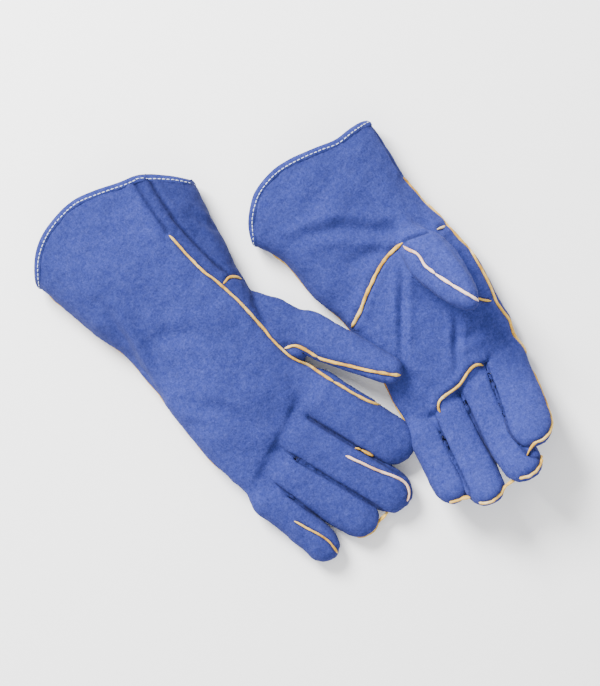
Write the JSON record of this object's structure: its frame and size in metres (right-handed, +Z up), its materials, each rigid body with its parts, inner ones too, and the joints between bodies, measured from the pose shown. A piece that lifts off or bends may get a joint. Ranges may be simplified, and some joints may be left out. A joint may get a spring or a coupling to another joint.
{
  "type": "pair of welding gloves",
  "caption": "Pair of split-leather welding gauntlets with leather welts in the seams and lined flared cuffs, one palm down and one palm up with curled fingers.",
  "frame": {"origin": "on the bench, under the middle of the box round the pair", "axes": "+Y from the fingers towards the cuffs, +X from the right-hand glove to the left-hand glove, +Z up off the bench"},
  "size_m": [0.2858, 0.413, 0.0746],
  "materials": {
    "suede_leather": "split cowhide suede dyed mid blue, with a mottled nap",
    "welt_leather": "undyed cream to yellow split leather strip with raw cut edges",
    "lining_cotton": "off-white brushed cotton fleece",
    "hem_thread": "pale twisted sewing thread"
  },
  "bodies": {
    "left_hand": {"left_hand_back": "suede_leather", "left_hand_palm": "suede_leather", "left_hand_lining": "lining_cotton", "left_hand_thumb_side_welt": "welt_leather", "left_hand_outer_welt": "welt_leather", "left_wrist_welt": "welt_leather"},
    "left_cuff": {"left_cuff_back": "suede_leather", "left_cuff_palm": "suede_leather", "left_cuff_lining": "lining_cotton", "left_cuff_thumb_side_welt": "welt_leather", "left_cuff_outer_welt": "welt_leather", "left_hem_stitching": "hem_thread"},
    "left_thumb": {"left_thumb_back": "suede_leather", "left_thumb_front": "suede_leather", "left_thumb_welt": "welt_leather"},
    "left_index": {"left_index_back": "suede_leather", "left_index_front": "suede_leather", "left_index_welt": "welt_leather"},
    "left_middle": {"left_middle_back": "suede_leather", "left_middle_front": "suede_leather", "left_middle_welt": "welt_leather"},
    "left_ring": {"left_ring_back": "suede_leather", "left_ring_front": "suede_leather", "left_ring_welt": "welt_leather"},
    "left_little": {"left_little_back": "suede_leather", "left_little_front": "suede_leather", "left_little_welt": "welt_leather"},
    "right_hand": {"right_hand_back": "suede_leather", "right_hand_palm": "suede_leather", "right_hand_lining": "lining_cotton", "right_hand_thumb_side_welt": "welt_leather", "right_hand_outer_welt": "welt_leather", "right_wrist_welt": "welt_leather"},
    "right_cuff": {"right_cuff_back": "suede_leather", "right_cuff_palm": "suede_leather", "right_cuff_lining": "lining_cotton", "right_cuff_thumb_side_welt": "welt_leather", "right_cuff_outer_welt": "welt_leather", "right_hem_stitching": "hem_thread"},
    "right_thumb": {"right_thumb_back": "suede_leather", "right_thumb_front": "suede_leather", "right_thumb_welt": "welt_leather"},
    "right_index": {"right_index_back": "suede_leather", "right_index_front": "suede_leather", "right_index_welt": "welt_leather"},
    "right_middle": {"right_middle_back": "suede_leather", "right_middle_front": "suede_leather", "right_middle_welt": "welt_leather"},
    "right_ring": {"right_ring_back": "suede_leather", "right_ring_front": "suede_leather", "right_ring_welt": "welt_leather"},
    "right_little": {"right_little_back": "suede_leather", "right_little_front": "suede_leather", "right_little_welt": "welt_leather"}
  },
  "joints": [
    {"name": "right_glove_lift", "type": "slide", "parent": "left_hand", "child": "right_hand", "axis": [0, 0, 1], "range_m": [0, 0.15]},
    {"name": "left_wrist", "type": "hinge", "parent": "left_hand", "child": "left_cuff", "pos_m": [0.07409, -0.00053, 0.012], "axis": [0.9781, -0.2079, 0], "range_deg": [-20, 20]},
    {"name": "left_thumb_bend", "type": "hinge", "parent": "left_hand", "child": "left_thumb", "pos_m": [0.10009, -0.01053, 0.038], "axis": [-0.9994, 0.0349, 0], "range_deg": [-6, 25]},
    {"name": "left_index_bend", "type": "hinge", "parent": "left_hand", "child": "left_index", "pos_m": [0.09209, -0.10953, 0.011], "axis": [-0.9781, 0.2079, 0], "range_deg": [-25, 40]},
    {"name": "left_middle_bend", "type": "hinge", "parent": "left_hand", "child": "left_middle", "pos_m": [0.06059, -0.11053, 0.011], "axis": [-0.9744, 0.225, 0], "range_deg": [-25, 40]},
    {"name": "left_ring_bend", "type": "hinge", "parent": "left_hand", "child": "left_ring", "pos_m": [0.03159, -0.11053, 0.011], "axis": [-0.9511, 0.309, 0], "range_deg": [-25, 40]},
    {"name": "left_little_bend", "type": "hinge", "parent": "left_hand", "child": "left_little", "pos_m": [0.00529, -0.10853, 0.011], "axis": [-0.9336, 0.3584, 0], "range_deg": [-25, 40]},
    {"name": "right_wrist", "type": "hinge", "parent": "right_hand", "child": "right_cuff", "pos_m": [-0.07491, 0.07547, 0.013], "axis": [0.9962, -0.0872, 0], "range_deg": [-20, 20]},
    {"name": "right_thumb_bend", "type": "hinge", "parent": "right_hand", "child": "right_thumb", "pos_m": [-0.02091, 0.01447, 0.015], "axis": [0.9136, 0.4067, 0], "range_deg": [-22, 0]},
    {"name": "right_index_bend", "type": "hinge", "parent": "right_hand", "child": "right_index", "pos_m": [-0.04091, -0.02653, 0.011], "axis": [0.9877, 0.1564, 0], "range_deg": [-8, 50]},
    {"name": "right_middle_bend", "type": "hinge", "parent": "right_hand", "child": "right_middle", "pos_m": [-0.06991, -0.03653, 0.011], "axis": [0.9925, 0.1219, 0], "range_deg": [-8, 50]},
    {"name": "right_ring_bend", "type": "hinge", "parent": "right_hand", "child": "right_ring", "pos_m": [-0.09691, -0.04653, 0.011], "axis": [0.9945, 0.1045, 0], "range_deg": [-8, 50]},
    {"name": "right_little_bend", "type": "hinge", "parent": "right_hand", "child": "right_little", "pos_m": [-0.12191, -0.05553, 0.011], "axis": [0.9998, -0.0175, 0], "range_deg": [-8, 50]}
  ]
}
